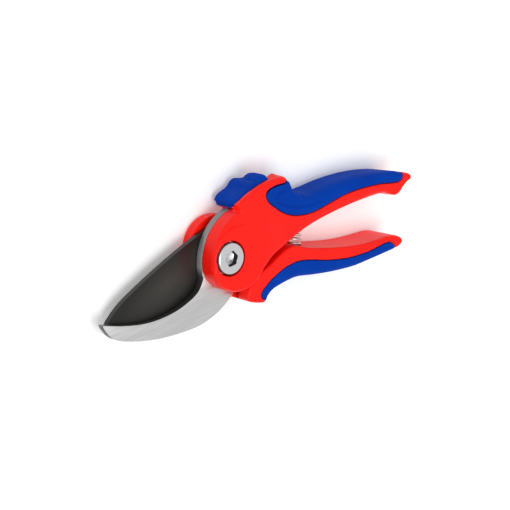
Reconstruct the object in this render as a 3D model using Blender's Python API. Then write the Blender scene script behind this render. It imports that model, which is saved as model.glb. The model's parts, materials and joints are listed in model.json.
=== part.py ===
"""Bypass pruning shears, closed and locked, lying on the flat back of the head.

Lengths in this file are millimetres and the model is scaled to metres as each mesh is made.
+X runs from the blades to the handles, +Y towards the upper handle, and +Z is the front.
The pivot's axis is the Z axis, and the shears rest on the plane z = 0.
"""

import math

import bmesh
import bpy
from mathutils import Vector
from mathutils.geometry import tessellate_polygon

MM = 0.001
GAP = 0.3
MERGE = 0.02
FLAT = math.radians(0.3)

# Heights of the stack, from the back to the front.
BACK_HEAD_TOP = 6.8
BLADE_LOW, BLADE_TOP = 7.1, 10.1
HOOK_LOW, HOOK_TOP = 10.4, 14.4
FRONT_HEAD_LOW = 14.7
HANDLE_TOP = 22.4
HEAD_TOP = 23.8
BOSS_TOP = 24.8
MIDDLE = HANDLE_TOP / 2
BELOW, ABOVE = -2.0, 28.0

# Pivot.
SHANK_RADIUS = 4.0
SLEEVE_OUTER, SLEEVE_INNER = 6.0, 4.3
RUNNING_GAP = 0.15
BOLT_HEAD_RADIUS, BOLT_HEAD_LOW, BOLT_HEAD_TOP = 8.0, 20.4, 25.2
RECESS_RADIUS, RECESS_FLOOR = 9.6, 18.6
SOCKET_FLATS, SOCKET_DEPTH = 7.4, 3.4
NUT_FLATS, NUT_TOP = 12.6, 3.0
NUT_RECESS_RADIUS, NUT_RECESS_TOP = 8.6, 4.0

# The front head is a nose circle with a wider arc up its blade side.
NOSE_CENTRE, NOSE_RADIUS = (5.9, -2.2), 17.7
CHEEK_CENTRE, CHEEK_RADIUS = (15.6, -7.1), 27.6
BACK_HEAD_CENTRE, BACK_HEAD_RADIUS = (4.5, 1.5), 16.4
BACK_SWING_RADIUS = 22.2
HOOK_SWING_RADIUS = 29.2

# The lock slides up the head's top edge.
SLIDE_ANGLE = math.radians(9.0)
RAIL_END = (45.6, 26.6)
RAIL_DEPTH = 1.9

# Return spring: its middle, the direction of its axis, and its size.
SPRING_MIDDLE = (50.2, -10.9)
SPRING_AXIS = (-0.3, -0.954)
SPRING_LENGTH = 18.0
SPRING_TURNS = 8
WIRE_RADIUS, COIL_RADIUS = 0.6, 4.0
POCKET_RADIUS, POCKET_REACH = 5.2, 10.6

HOOK_SCREWS = ((29.0, 14.0), (40.5, 6.0))
BLADE_SCREWS = ((31.0, -17.5), (37.5, -19.5))
SCREW_HEAD, SCREW_SHANK, SCREW_SEAT = 3.0, 1.6, 3.3
BOLT_WASHER_RADIUS = 8.4
WASHER_RADIUS, WASHER_SEAT = 7.6, 5.9
INSERT_RADIUS, INSERT_HEIGHT = 5.6, 0.9
CORE_SKIN = 2.2
SEAT_TIP, SEAT_BASE, SEAT_END = 5.5, 9.8, 10.3
HIGH_LIP = 13.5

# Outlines. Each point is x, y and the radius of the rounded edge there.
UPPER_OUTLINE = [
    (26, -10.8, 3), (36, -8.6, 3), (48, -6.3, 4), (60, -4.9, 4), (72, -4.6, 4), (84, -4.9, 4),
    (97, -6, 4), (106, -7, 3), (110.2, -8.8, 2), (113.6, -10.9, 1.5), (116.8, -10.6, 1.5),
    (119.6, -8.4, 1), (123, -6.6, 0.6), (125.6, -6, 0.6), (125.5, -3.4, 0.8), (121.4, -0.6, 3),
    (114, 2.3, 4.5), (103, 5.4, 5), (91, 7.9, 5.5), (79, 9.5, 5.5), (67, 10.1, 5.5),
    (59.6, 10.8, 5), (54, 13.9, 4.5), (50, 18.3, 4), (47.8, 23.6, 3), (44.4, 26.8, 2.5),
    (39, 28.1, 2), (32, 28.7, 1.5), (22, 27.4, 1.2),
]
UPPER_CORNER = [(11.2, 24.4, 1.2)]
LOWER_OUTLINE = [
    (19.5, -15.8, 1), (26.3, -13.9, 1.2), (32.2, -11.9, 1.2), (38, -10.5, 1.2),
    (41.6, -10.6, 1.2), (46, -12.6, 1.2), (53, -16.3, 1.2), (60, -19.2, 1.2), (70, -22.9, 1.2),
    (80, -26.1, 1.5), (90, -28.5, 1.5), (99, -29.8, 2), (105.5, -30.8, 2), (109.8, -32.4, 2),
    (112.5, -35, 1.5), (111.9, -37.4, 1.5), (108.6, -38.9, 2.5), (101, -39.2, 4), (89, -38.7, 4.5),
    (78, -37.8, 4.5), (65, -35.2, 4.5), (53, -32, 4.5), (42, -28.6, 4.5), (35, -27.8, 4),
    (28.5, -27.8, 3.5), (24, -28.2, 3), (20.2, -29.5, 2), (17, -31.8, 1.5), (11.2, -29.7, 1.2),
    (6.5, -26.4, 1), (7.6, -23, 1), (10.5, -19.6, 1),
]
BACK_HEAD_FOOT = [
    (-3.6, -15.5, 1.5), (1, -22.4, 1.5), (7, -27.6, 1.5), (14, -28, 1.5), (22, -24, 1.5),
    (24, -17.5, 1.5), (20.3, -11, 1.5), (20.9, -4, 1.5),
]
UPPER_GRIP_EDGE = [
    (47.5, 30, 0), (45.2, 23.8, 0), (39.6, 24.2, 0), (34, 24.4, 0), (30.6, 22.6, 0), (31, 18.6, 0),
    (35.2, 13.2, 0), (40.6, 8, 0), (48, 4, 0), (58, 1.8, 0), (70, 2.2, 0), (80, 2.7, 0),
    (91, 1.8, 0), (104, -0.7, 0), (113, -3.5, 0), (118, -4.3, 0), (121.2, -1.6, 0),
    (124, 6, 0),
]
UPPER_GRIP_OUTSIDE = [(110, 20, 0), (62, 26, 0)]
LOWER_GRIP_EDGE = [
    (19, -38, 0), (17.6, -31, 0), (15.8, -29.1, 0), (15.4, -27.4, 0), (16.8, -25.4, 0),
    (22.3, -22.6, 0), (26.4, -21.2, 0), (33.7, -19.5, 0),
    (42, -19.5, 0), (50.3, -22, 0), (62.9, -27.3, 0), (76, -31.2, 0), (89.7, -33.1, 0),
    (101, -33.2, 0), (105.6, -35.4, 0), (109, -44, 0),
]
LOWER_GRIP_OUTSIDE = [(60, -46, 0)]
UPPER_CORE = [
    (24, 15, 2), (30, 6, 2), (40, -0.5, 2), (50, -2, 2), (64, -1.6, 2), (84, -2, 2),
    (103, -4.2, 2), (112, -6.6, 1), (116.6, -5.6, 0.8), (116.4, -2.4, 0.8), (112, 0, 1),
    (103, 2.7, 2), (84, 6.4, 2), (66, 7.6, 2), (57, 9.2, 2), (51.4, 13.2, 2), (47.4, 18.6, 2),
    (43.5, 24, 2), (35, 25.6, 2), (27, 22, 2),
]
LOWER_CORE = [
    (12.5, -26, 1.5), (17, -20.7, 1.5), (28, -16.8, 1.5), (40, -14.5, 1.5), (50, -18.3, 1.5),
    (66, -24, 1.5), (84, -29.6, 1.5), (95, -31.4, 1), (101, -32.8, 0.8), (103, -34.8, 0.8),
    (101, -36.5, 0.8), (95, -36.8, 1), (84, -36, 1.5), (74, -34.8, 1.5), (62, -32.1, 1.5),
    (50, -28.8, 1.5), (41, -26, 1.5), (34, -25.3, 1.5),
    (27, -25.3, 1.5), (20.5, -26.4, 1.5), (15.5, -28, 1.5),
]
HOOK_JAW = [
    (-12, -6.4, 0), (-12.3, -8.6, 0), (-16.5, -13.2, 0), (-23, -15.8, 0), (-33, -17.5, 0),
    (-45, -17.1, 0), (-56, -14.8, 0), (-66.6, -11, 0),
]
HOOK_BACK = [
    (-76.5, -6.6, 0), (-75.4, -10.2, 0), (-72.4, -15.2, 0), (-67, -19, 0), (-57, -23.3, 0),
    (-45, -27, 0), (-32, -29.4, 0), (-20, -30.4, 0), (-9, -28.8, 0), (0, -25.2, 0),
    (5, -22, 0), (10, -16.5, 0), (19, -10.5, 0), (30, -5, 0), (42, -1.5, 0), (45.5, 2.5, 0),
    (43.5, 7, 0), (36, 12.5, 0), (27, 15.5, 0), (18, 17.4, 0),
]
# The blade's third number is the width of the bevel ground behind its edge.
BLADE_SPINE = [
    (-71.4, -10.6, 0), (-66.5, -5.9, 0), (-58, -1.6, 0), (-44.4, 2.9, 0), (-30, 7.1, 0),
    (-16, 10.6, 0), (-5, 12.9, 0), (3, 13.6, 0), (10, 11.4, 0), (14.6, 5, 0), (17, -3.5, 0),
    (22, -11, 0), (30, -13, 0), (38, -13.2, 0), (41, -15.5, 0), (39.5, -19.5, 0),
    (33, -21.8, 0), (25, -22.2, 0), (17, -21, 0), (9, -17.6, 0), (0, -16.6, 1),
]
BLADE_EDGE = [
    (-9, -16.6, 3), (-21, -18.4, 5), (-34, -19.8, 6), (-46, -19.2, 6), (-57, -17, 5),
    (-66, -13.6, 3),
]
# The handles get thinner towards their ends, where the back is drawn in.
DRAFT_START, DRAFT_END = 90.0, 126.0
UPPER_DRAFT, LOWER_DRAFT = 5.0, 3.0
# Behind the rail the upper handle's top edge is a straight line for the lock's leg.
TOE_FLOOR = [(12.2, 20.2, 0), (17.6, 20.8, 0)]
TOE_TOP = 17.0
LEG_FLOOR = (17.6, 18.0)
LEG_END = 44.2
HUMP_BACK, TONGUE_BACK = 12.0, 4.2
BACK_HUMP_EDGE = [(41.5, 21.6, 0), (46, 20.1, 0), (50, 17.5, 0), (54, 14.1, 0), (57, 11.2, 0)]

# Lock slider.
LOCK_FLOOR = (12.0, 22.5)
LOCK_CROWN = [
    (36.4, 27.8, 0), (33, 28.1, 1), (30.9, 28.5, 1), (28.6, 29.4, 1), (26.7, 30, 1),
    (25, 29.9, 1), (23.4, 29.1, 1), (21.9, 27.9, 1), (19.8, 27.1, 1), (16.2, 26.5, 1),
    (13.4, 25.3, 1), (12.6, 23.8, 0),
]
# The thumb piece is domed. The crowns' third number is how much of each level's inset they take.
THUMB_CROWN = [
    (36.2, 27.9, 0), (36, 29, 0.8), (35.2, 30.7, 1), (33.6, 31.8, 1), (31.8, 31.9, 1),
    (29.8, 31.2, 1), (27.6, 29.9, 1), (26.4, 28.4, 0.5), (26.6, 27.2, 0),
]
# Each level is a height and the inset there.
THUMB_LEVELS = [(6.2, 2.7), (7.3, 1.5), (9, 0.7), (12, 0.1), (18.9, 0), (19.9, 0.4), (20.4, 1.1)]
BLOCK_LEVELS = [(3.0, 0.6), (3.7, 0), (19.7, 0), (20.5, 0.6)]
LOCK_BACK = 3.0
LOCK_STEP = 0.35
FRONT_LIP_LOW = 20.8
RAIL_LOW, RAIL_HIGH, RAIL_ROOT_HIGH = 10.7, 13.9, 15.8
RAIL_START, RAIL_ROOT_END = 22.0, 35.5
LEG_TOP = 10.4
LATCH = [(19, 23.5), (19, 19.4), (17, 17.6), (17.2, 15.6), (20, 16), (21.5, 19), (26, 20), (26, 24.2)]
LATCH_LOW, LATCH_HIGH = 7.6, 9.1
LATCH_RIVET = (23.0, 22.2)
RIVET_RADIUS = 1.2


def clear_scene():
    for obj in list(bpy.data.objects):
        bpy.data.objects.remove(obj)


def material(name, colour, roughness, metallic=0.0):
    made = bpy.data.materials.new(name)
    made.use_nodes = True
    shader = made.node_tree.nodes["Principled BSDF"]
    shader.inputs["Base Color"].default_value = (*colour, 1.0)
    shader.inputs["Roughness"].default_value = roughness
    shader.inputs["Metallic"].default_value = metallic
    return made


# Outlines are lists of (x, y, radius), anticlockwise when they are closed.


def through(points, closed=True, per_span=3):
    """A Catmull-Rom curve through the points, per_span points for each span."""
    found = []
    count = len(points)
    spans = count if closed else count - 1
    for i in range(spans):
        if closed:
            four = [Vector(points[(i + k) % count]) for k in (-1, 0, 1, 2)]
        else:
            four = [Vector(points[min(max(i + k, 0), count - 1)]) for k in (-1, 0, 1, 2)]
        for step in range(per_span):
            t = step / per_span
            a, b, c, d = four
            found.append(
                b + 0.5 * t * (c - a + t * (2 * a - 5 * b + 4 * c - d + t * (3 * b - a - 3 * c + d)))
            )
    if not closed:
        found.append(Vector(points[-1]))
    return [tuple(point) for point in found]


def arc(centre, radius, start, end, count, edge=0.0):
    """count + 1 points on a circle, from start to end in degrees."""
    angles = [math.radians(start + (end - start) * i / count) for i in range(count + 1)]
    return [
        (centre[0] + radius * math.cos(a), centre[1] + radius * math.sin(a), edge) for a in angles
    ]


def anticlockwise(outline):
    area = sum(
        a[0] * b[1] - b[0] * a[1] for a, b in zip(outline, outline[1:] + outline[:1])
    )
    return outline if area > 0 else outline[::-1]


def grown(outline, distances):
    """The outline with each point moved out along its normal; distances is a number or a list."""
    count = len(outline)
    if not isinstance(distances, list):
        distances = [distances] * count
    found = []
    for i, (x, y, edge) in enumerate(outline):
        before, after = outline[i - 1], outline[(i + 1) % count]
        along = Vector((after[0] - before[0], after[1] - before[1])).normalized()
        found.append((x + along.y * distances[i], y - along.x * distances[i], edge))
    return found


def upper_outline():
    cheek = arc(CHEEK_CENTRE, CHEEK_RADIUS, 97, 174, 12, 1.6)
    nose = arc(NOSE_CENTRE, NOSE_RADIUS, 192, 318, 16, 2.2)
    rest = through([nose[-1], *UPPER_OUTLINE, *UPPER_CORNER], closed=False)
    return UPPER_CORNER + cheek + nose[:-1] + rest[:-1]


def lower_outline():
    return anticlockwise(through(LOWER_OUTLINE))


def hook_outline():
    cheek = arc(CHEEK_CENTRE, CHEEK_RADIUS, 97, 174, 10)
    jaw = through(HOOK_JAW, closed=False)
    back = through(HOOK_BACK, closed=False)
    return anticlockwise(cheek + jaw + back)


def blade_outline():
    """Here the third number is the width of the ground bevel behind the edge."""
    return anticlockwise(through(BLADE_SPINE + BLADE_EDGE))


def top_at(x):
    """The height of the upper handle's front face, which drops from the head to the grip."""
    share = min(max((x - 18) / 36, 0), 1)
    return HEAD_TOP + (HANDLE_TOP - HEAD_TOP) * share * share * (3 - 2 * share)


def end_share(x):
    share = min(max((x - DRAFT_START) / (DRAFT_END - DRAFT_START), 0), 1)
    return share * share * (3 - 2 * share)


# Solids.


def mesh_object(name, mesh_data, colour=None, helper=False):
    bmesh.ops.recalc_face_normals(mesh_data, faces=mesh_data.faces[:])
    bmesh.ops.scale(mesh_data, vec=(MM, MM, MM), verts=mesh_data.verts[:])
    mesh = bpy.data.meshes.new(name)
    mesh_data.to_mesh(mesh)
    mesh_data.free()
    obj = bpy.data.objects.new(name, mesh)
    bpy.context.scene.collection.objects.link(obj)
    if colour:
        mesh.materials.append(colour)
    if helper:
        obj.hide_render = True
        obj.display_type = "WIRE"
    return obj


def stacked(name, rings, **options):
    """A solid from rings of equal length, each a list of 3-D points, with flat ends."""
    mesh_data = bmesh.new()
    made = [[mesh_data.verts.new(point) for point in ring] for ring in rings]
    for low, high in zip(made, made[1:]):
        for i in range(len(low)):
            j = (i + 1) % len(low)
            mesh_data.faces.new((low[i], low[j], high[j], high[i]))
    for end in (made[0], made[-1]):
        for corners in tessellate_polygon([[vert.co for vert in end]]):
            mesh_data.faces.new([end[i] for i in corners])
    return mesh_object(name, mesh_data, **options)


def prism(name, outline, low, high, **options):
    rings = [[(x, y, z) for x, y, _ in outline] for z in (low, high)]
    return stacked(name, rings, **options)


def domed(name, outline, levels, **options):
    """A plate drawn in by a distance at each height, times the outline's third number."""
    outline = anticlockwise(outline)
    rings = []
    for z, inset in levels:
        moved = grown(outline, [-inset * share for _, _, share in outline])
        rings.append([(x, y, z) for x, y, _ in moved])
    return stacked(name, rings, **options)


def cutter(outline, low, high):
    return prism("cutter", outline, low, high, helper=True)


def rounded_slab(name, outline, low, high, steps=3, draft=0, **options):
    """A plate whose front and back edges are rounded by each point's own radius.

    high is a height, or a function of x. draft draws in the back of a handle's end by so much.
    """
    outline = anticlockwise(outline)
    height = high if callable(high) else lambda x: high
    rings = []
    for front in (False, True):
        for step in range(steps + 1):
            turn = math.radians(90 * (step if front else steps - step) / steps)
            inset = [-edge * (1 - math.cos(turn)) for _, _, edge in outline]
            rise = [edge * (1 - math.sin(turn)) for _, _, edge in outline]
            moved = grown(outline, inset)
            ring = [
                (x, y, height(x) - lift if front else low + lift)
                for (x, y, _), lift in zip(moved, rise)
            ]
            rings.append([(x - draft * end_share(x) * (1 - z / HANDLE_TOP), y, z) for x, y, z in ring])
    return stacked(name, rings, **options)


def turned(name, profile, centre=(0, 0), count=48, **options):
    """A closed (radius, z) profile turned about a vertical axis; a radius of 0 is on the axis."""
    mesh_data = bmesh.new()
    columns = []
    for i in range(count):
        angle = 2 * math.pi * i / count
        columns.append([
            mesh_data.verts.new((centre[0] + r * math.cos(angle), centre[1] + r * math.sin(angle), z))
            for r, z in profile
        ])
    for i, column in enumerate(columns):
        after = columns[(i + 1) % count]
        for j in range(len(profile)):
            k = (j + 1) % len(profile)
            if profile[j][0] or profile[k][0]:
                mesh_data.faces.new((column[j], after[j], after[k], column[k]))
    bmesh.ops.remove_doubles(mesh_data, verts=mesh_data.verts[:], dist=1e-4)
    bmesh.ops.dissolve_degenerate(mesh_data, edges=mesh_data.edges[:], dist=1e-5)
    return mesh_object(name, mesh_data, **options)


def disc(name, radius, low, high, inner=None, centre=(0, 0), count=48, **options):
    if inner is None:
        profile = [(0, low), (radius, low), (radius, high), (0, high)]
    else:
        profile = [(inner, low), (radius, low), (radius, high), (inner, high)]
    return turned(name, profile, centre, count, **options)


def hexagon(flats):
    return arc((0, 0), flats / math.sqrt(3), 0, 300, 5)


def rod(name, start, end, radius, count=24, **options):
    """A round bar between two 3-D points."""
    start, end = Vector(start), Vector(end)
    turn = (end - start).to_track_quat("Z", "Y").to_matrix()
    rings = []
    for point in (start, end):
        rings.append([
            point + turn @ Vector((radius * math.cos(a), radius * math.sin(a), 0))
            for a in (2 * math.pi * i / count for i in range(count))
        ])
    return stacked(name, rings, **options)


def combine(target, others, operation="DIFFERENCE"):
    """Applies one Boolean after another to target, and removes the other objects."""
    for other in others:
        modifier = target.modifiers.new(operation.lower(), "BOOLEAN")
        modifier.operation = operation
        modifier.object = other
        # EXACT loses the rounded handle shells where the boss meets them, and every mesh here is closed.
        modifier.solver = "MANIFOLD"
        graph = bpy.context.evaluated_depsgraph_get()
        mesh = bpy.data.meshes.new_from_object(target.evaluated_get(graph))
        target.modifiers.clear()
        target.data = mesh
        bpy.data.objects.remove(other)
    return target


def cut(target, *others):
    return combine(target, others, "DIFFERENCE")


def joined(target, *others):
    return combine(target, others, "UNION")


def kept(target, other):
    return combine(target, [other], "INTERSECT")


def tidy(obj):
    """Merges the short edges and dissolves the slivers that the Booleans leave."""
    mesh_data = bmesh.new()
    mesh_data.from_mesh(obj.data)
    bmesh.ops.remove_doubles(mesh_data, verts=mesh_data.verts[:], dist=MERGE * MM)
    bmesh.ops.dissolve_degenerate(mesh_data, edges=mesh_data.edges[:], dist=MERGE * MM)
    bmesh.ops.dissolve_limit(
        mesh_data, angle_limit=FLAT, verts=mesh_data.verts[:], edges=mesh_data.edges[:]
    )
    bmesh.ops.triangulate(mesh_data, faces=mesh_data.faces[:])
    bmesh.ops.dissolve_degenerate(mesh_data, edges=mesh_data.edges[:], dist=MERGE * MM)
    mesh_data.to_mesh(obj.data)
    mesh_data.free()


def spring_point(along, height=MIDDLE):
    """A point on the return spring's axis, along from its middle towards the lower handle."""
    return (
        SPRING_MIDDLE[0] + SPRING_AXIS[0] * along,
        SPRING_MIDDLE[1] + SPRING_AXIS[1] * along,
        height,
    )


def sloping(start, x, rise=0.0):
    """The point at x on the line through start that runs along the lock's travel, raised by rise."""
    return (x, start[1] + (x - start[0]) * math.tan(SLIDE_ANGLE) + rise, 0)


# Upper handle and what it carries.


def upper_shell(name, colour):
    """The whole outside of the upper handle, before it is split into body and soft grip."""
    shell = rounded_slab(name, upper_outline(), 0, top_at, draft=UPPER_DRAFT, colour=colour)
    rim = NOSE_RADIUS - 1
    boss = [
        (0, FRONT_LIP_LOW), (rim, FRONT_LIP_LOW), (rim, HEAD_TOP - 0.6), (rim - 1.6, BOSS_TOP - 0.3),
        (rim - 2.4, BOSS_TOP), (0, BOSS_TOP),
    ]
    return joined(shell, turned("boss", boss, NOSE_CENTRE, 64))


def head_room():
    """The room behind the front head where the plates and the back head turn."""
    swing = arc((0, 0), BACK_SWING_RADIUS, -14, 46, 10)
    corners = [
        (15.4, 19.2, 0), (13.8, 19.6, 0), (12.4, 21, 0), (12.4, 34, 0), (-30, 34, 0),
        (-30, -34, 0), (26, -34, 0), (25, -11.6, 0),
    ]
    return cutter(swing + corners, BELOW, FRONT_HEAD_LOW)


def lock_room():
    """The room for the lock: over the leg's floor, behind the front lip, and behind the hump."""
    leg = TOE_FLOOR + [
        (*LEG_FLOOR, 0), sloping(LEG_FLOOR, LEG_END), (LEG_END, 40, 0), (5, 40, 0), (5, 20.6, 0),
    ]
    front = [sloping(LOCK_FLOOR, 8), sloping(LOCK_FLOOR, LEG_END), (LEG_END, 40, 0), (8, 40, 0)]
    toe = [(8, 19.7, 0), (12.2, 20.2, 0), (22, 21.6, 0), (22, 26, 0), (8, 26, 0)]
    corner = [(5, 14, 0), (18.5, 14, 0), (18.5, 40, 0), (5, 40, 0)]
    hump = through(BACK_HUMP_EDGE, closed=False) + [(60, 12.6, 0), (62, 40, 0), (41.5, 40, 0)]
    return [
        cutter(leg, BELOW, FRONT_HEAD_LOW),
        cutter(front, FRONT_HEAD_LOW - 1, FRONT_LIP_LOW),
        cutter(toe, FRONT_HEAD_LOW - 1, TOE_TOP + 2 * GAP),
        cutter(hump, BELOW, HUMP_BACK),
        cutter(corner, BELOW, TONGUE_BACK),
    ]


def rail(start, end, low, high):
    outline = [
        sloping(RAIL_END, start, -RAIL_DEPTH), sloping(RAIL_END, end, -RAIL_DEPTH),
        sloping(RAIL_END, end), sloping(RAIL_END, start),
    ]
    return prism("rail", outline, low, high)


def pivot_holes():
    rim = RECESS_RADIUS + 1.5
    recess = [
        (0, RECESS_FLOOR), (RECESS_RADIUS, RECESS_FLOOR), (RECESS_RADIUS, BOSS_TOP - 0.5),
        (rim, BOSS_TOP + 1), (0, BOSS_TOP + 1),
    ]
    return [
        turned("cutter", recess, helper=True),
        disc("cutter", SHANK_RADIUS + GAP, BELOW, ABOVE, helper=True),
    ]


def screw_hole(centre, top):
    """A stepped hole from the back for a cap screw."""
    profile = [
        (0, BELOW), (SCREW_HEAD + GAP, BELOW), (SCREW_HEAD + GAP, SCREW_SEAT + GAP),
        (SCREW_SHANK + GAP, SCREW_SEAT + GAP), (SCREW_SHANK + GAP, top), (0, top),
    ]
    return turned("cutter", profile, centre, 24, helper=True)


def screw(name, centre, top, colour):
    socket = 1.3
    profile = [
        (0, 1.9), (socket, 1.9), (socket, 0.6), (SCREW_HEAD - 0.3, 0.6), (SCREW_HEAD, 0.9),
        (SCREW_HEAD, SCREW_SEAT), (SCREW_SHANK, SCREW_SEAT), (SCREW_SHANK, top), (0, top),
    ]
    return turned(name, profile, centre, 24, colour=colour)


def spring_pocket():
    ends = spring_point(-POCKET_REACH), spring_point(POCKET_REACH)
    return rod("cutter", *ends, POCKET_RADIUS, 24, helper=True)


def grip_region(edge, outside):
    return anticlockwise(through(edge, closed=False) + outside)


def soft_grip(shell, region, core, draft):
    """The soft overmould: the part of the shell in the region, over the hard core."""
    kept(shell, cutter(region, BELOW, ABOVE))
    low, high = CORE_SKIN, HANDLE_TOP - CORE_SKIN
    return cut(shell, rounded_slab("cutter", through(core), low, high, 2, draft, helper=True))


def hard_body(shell, region, core, draft):
    """The moulded body: the rest of the shell, with the core that the soft grip wraps."""
    cut(shell, cutter(grown(region, GAP), BELOW, ABOVE))
    inner = grown(anticlockwise(through(core)), -GAP)
    low, high = CORE_SKIN + GAP, HANDLE_TOP - CORE_SKIN - GAP
    return joined(shell, rounded_slab("core", inner, low, high, 2, draft))


def latch_slot():
    """The slot in the back shell that the latch's finger slides in."""
    floor = (16.2, 15.0)
    outline = [(*floor, 0), sloping(floor, 28.6), (28.6, 24, 0), (16.2, 24, 0)]
    return cutter(outline, LATCH_LOW - GAP, HOOK_LOW)


def make_upper_handle(red, blue):
    region = grip_region(UPPER_GRIP_EDGE, UPPER_GRIP_OUTSIDE)
    grip = soft_grip(upper_shell("upper_grip", blue), region, UPPER_CORE, UPPER_DRAFT)
    cut(grip, *lock_room())
    body = hard_body(upper_shell("upper_handle", red), region, UPPER_CORE, UPPER_DRAFT)
    cut(body, head_room(), *lock_room())
    joined(body, rail(RAIL_START, RAIL_END[0], RAIL_LOW, RAIL_HIGH))
    joined(body, rail(RAIL_START, RAIL_ROOT_END, RAIL_HIGH - 0.4, RAIL_ROOT_HIGH))
    cut(body, cutter(grown(hook_outline(), GAP), HOOK_LOW - GAP, HOOK_TOP + GAP))
    cut(body, *pivot_holes(), spring_pocket(), latch_slot())
    for place in HOOK_SCREWS:
        for target in (body, grip):
            cut(target, screw_hole(place, HOOK_TOP + 1))


def make_hook(steel):
    hook = prism("hook_blade", hook_outline(), HOOK_LOW, HOOK_TOP, colour=steel)
    cut(hook, disc("cutter", SLEEVE_OUTER + RUNNING_GAP, BELOW, ABOVE, helper=True))
    for place in HOOK_SCREWS:
        cut(hook, disc("cutter", SCREW_SHANK + GAP, BELOW, ABOVE, None, place, 24, helper=True))
    for number, place in enumerate(HOOK_SCREWS, 1):
        screw(f"hook_screw_{number}", place, HOOK_TOP - 0.4, steel)


# Lower handle and what it carries.


def lower_shell(name, colour):
    return rounded_slab(name, lower_outline(), 0, HANDLE_TOP, draft=LOWER_DRAFT, colour=colour)


def back_head():
    """The lower handle's head behind the blade, with its neck to the handle."""
    head = arc(BACK_HEAD_CENTRE, BACK_HEAD_RADIUS, 10, 225, 28, 1.5)
    foot = through([head[-1], *BACK_HEAD_FOOT, head[0]], closed=False)
    slab = rounded_slab("head", head + foot[1:-1], 0, BACK_HEAD_TOP + 3, 2)
    return kept(slab, disc("cutter", 60, BELOW, BACK_HEAD_TOP, helper=True))


def nut_hole():
    profile = [
        (0, BELOW), (NUT_RECESS_RADIUS, BELOW), (NUT_RECESS_RADIUS, NUT_RECESS_TOP),
        (SHANK_RADIUS + 0.5, NUT_RECESS_TOP), (SHANK_RADIUS + 0.5, WASHER_SEAT),
        (WASHER_RADIUS + GAP, WASHER_SEAT), (WASHER_RADIUS + GAP, BLADE_LOW), (0, BLADE_LOW),
    ]
    return turned("cutter", profile, helper=True)


def make_lower_handle(red, blue):
    region = grip_region(LOWER_GRIP_EDGE, LOWER_GRIP_OUTSIDE)
    grip = lower_shell("lower_grip", blue)
    soft_grip(grip, region, LOWER_CORE, LOWER_DRAFT)
    body = lower_shell("lower_handle", red)
    hard_body(body, region, LOWER_CORE, LOWER_DRAFT)
    nose = disc("cutter", NOSE_RADIUS + 0.5, BACK_HEAD_TOP, ABOVE, None, NOSE_CENTRE, 64, helper=True)
    swing = disc("cutter", HOOK_SWING_RADIUS, HOOK_LOW - GAP, FRONT_HEAD_LOW, count=96, helper=True)
    cut(body, nose, swing)
    joined(body, cut(back_head(), cutter(grown(region, GAP), BELOW, ABOVE)))
    cut(body, cutter(grown(blade_outline(), GAP), BACK_HEAD_TOP, BLADE_TOP + GAP))
    cut(body, nut_hole(), spring_pocket())
    for place in BLADE_SCREWS:
        for target in (body, grip):
            cut(target, screw_hole(place, BLADE_TOP + GAP))


def make_blade(coated, steel):
    outline = blade_outline()
    ground = grown(outline, [-width for _, _, width in outline])
    edge_low = BLADE_TOP - 0.2
    rings = [
        [(x, y, z) for x, y, _ in ring]
        for ring, z in ((ground, BLADE_LOW), (outline, edge_low), (outline, BLADE_TOP))
    ]
    blade = stacked("cutting_blade", rings, colour=coated)
    cut(blade, disc("cutter", SLEEVE_OUTER + RUNNING_GAP, BELOW, ABOVE, helper=True))
    for place in BLADE_SCREWS:
        cut(blade, disc("cutter", SCREW_SHANK + GAP, BELOW, ABOVE, None, place, 24, helper=True))
    for number, place in enumerate(BLADE_SCREWS, 1):
        screw(f"blade_screw_{number}", place, BLADE_TOP - 0.3, steel)


# Pivot stack.


def make_pivot(chrome, steel, nylon):
    head = [
        (0, 0), (SHANK_RADIUS, 0), (SHANK_RADIUS, BOLT_HEAD_LOW), (BOLT_HEAD_RADIUS, BOLT_HEAD_LOW),
        (BOLT_HEAD_RADIUS, BOLT_HEAD_TOP - 0.8), (BOLT_HEAD_RADIUS - 0.8, BOLT_HEAD_TOP),
        (0, BOLT_HEAD_TOP),
    ]
    bolt = turned("pivot_bolt", head, colour=chrome)
    cut(bolt, cutter(hexagon(SOCKET_FLATS), BOLT_HEAD_TOP - SOCKET_DEPTH, ABOVE))
    washer_top = BOLT_HEAD_LOW - GAP
    disc("bolt_washer", BOLT_WASHER_RADIUS, RECESS_FLOOR + GAP, washer_top, SLEEVE_INNER, colour=steel)
    disc("pivot_bushing", SLEEVE_OUTER, BLADE_LOW, HOOK_TOP, SLEEVE_INNER, colour=steel)
    disc("blade_washer", WASHER_RADIUS, WASHER_SEAT + GAP, BACK_HEAD_TOP, SHANK_RADIUS + 0.5, colour=nylon)
    make_disc_spring(steel)
    nut = prism("pivot_nut", hexagon(NUT_FLATS), 0, NUT_TOP, colour=steel)
    bore = [
        (0, BELOW), (INSERT_RADIUS + GAP, BELOW), (INSERT_RADIUS + GAP, INSERT_HEIGHT + GAP),
        (SLEEVE_INNER, INSERT_HEIGHT + GAP), (SLEEVE_INNER, ABOVE), (0, ABOVE),
    ]
    cut(nut, turned("cutter", bore, helper=True))
    disc("nut_insert", INSERT_RADIUS, 0, INSERT_HEIGHT, SLEEVE_INNER, colour=nylon)


def make_disc_spring(steel):
    low, high, thick = NUT_TOP + 0.2, NUT_RECESS_TOP - 0.2, 0.4
    inner, outer = SHANK_RADIUS + 0.4, WASHER_RADIUS
    profile = [(outer, low), (outer, low + thick), (inner, high), (inner, high - thick)]
    turned("disc_spring", profile, colour=steel)


# Return spring, wound about its axis from one handle's pocket to the other's.


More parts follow.
